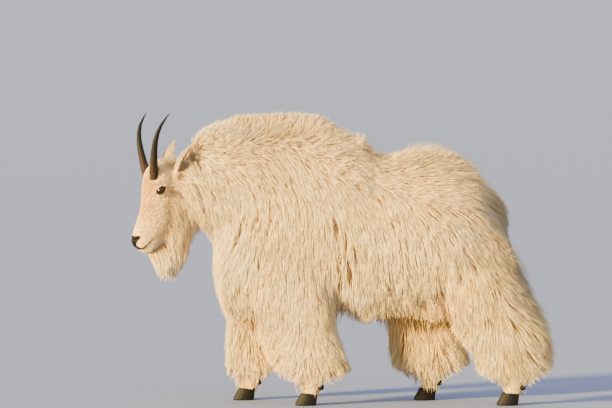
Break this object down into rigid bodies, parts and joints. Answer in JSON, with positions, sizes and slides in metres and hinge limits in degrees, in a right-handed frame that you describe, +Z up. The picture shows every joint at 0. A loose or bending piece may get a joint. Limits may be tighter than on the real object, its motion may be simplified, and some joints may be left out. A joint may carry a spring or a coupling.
{
  "type": "mountain goat",
  "caption": "Life-size mountain goat standing in full winter coat, head turned a little to its left, with curved horns, beard, shaggy leg coat and cloven hooves.",
  "frame": {"origin": "centre of the bounding box at the level of the soles", "axes": "-X is the way the goat faces, -Y its left side, +Z up"},
  "size_m": [1.4642, 0.411, 1.016],
  "materials": {
    "body_coat": "long cream winter hair",
    "head_coat": "short to long cream hair",
    "ear_coat": "short cream hair",
    "leg_coat": "long yellow-cream hair",
    "horn": "dark ridged horn, satin; wood stands in for horn",
    "hoof": "dark horn, matt; rubber stands in for hoof",
    "nose": "black, slightly moist",
    "eye": "dark brown, wet"
  },
  "bodies": {
    "root": {"beard": "head_coat", "dewclaw_fore_left_inner": "hoof", "dewclaw_fore_left_outer": "hoof", "dewclaw_fore_right_inner": "hoof", "dewclaw_fore_right_outer": "hoof", "dewclaw_hind_left_inner": "hoof", "dewclaw_hind_left_outer": "hoof", "dewclaw_hind_right_inner": "hoof", "dewclaw_hind_right_outer": "hoof", "ear_left": "ear_coat", "ear_right": "ear_coat", "eye_left": "eye", "eye_right": "eye", "head": "head_coat", "hoof_fore_left_inner": "hoof", "hoof_fore_left_outer": "hoof", "hoof_fore_right_inner": "hoof", "hoof_fore_right_outer": "hoof", "hoof_hind_left_inner": "hoof", "hoof_hind_left_outer": "hoof", "hoof_hind_right_inner": "hoof", "hoof_hind_right_outer": "hoof", "horn_left": "horn", "horn_right": "horn", "leg_fore_left": "leg_coat", "leg_fore_right": "leg_coat", "leg_hind_left": "leg_coat", "leg_hind_right": "leg_coat", "neck": "head_coat", "nose": "nose", "tail": "body_coat", "trunk": "body_coat"}
  },
  "joints": []
}
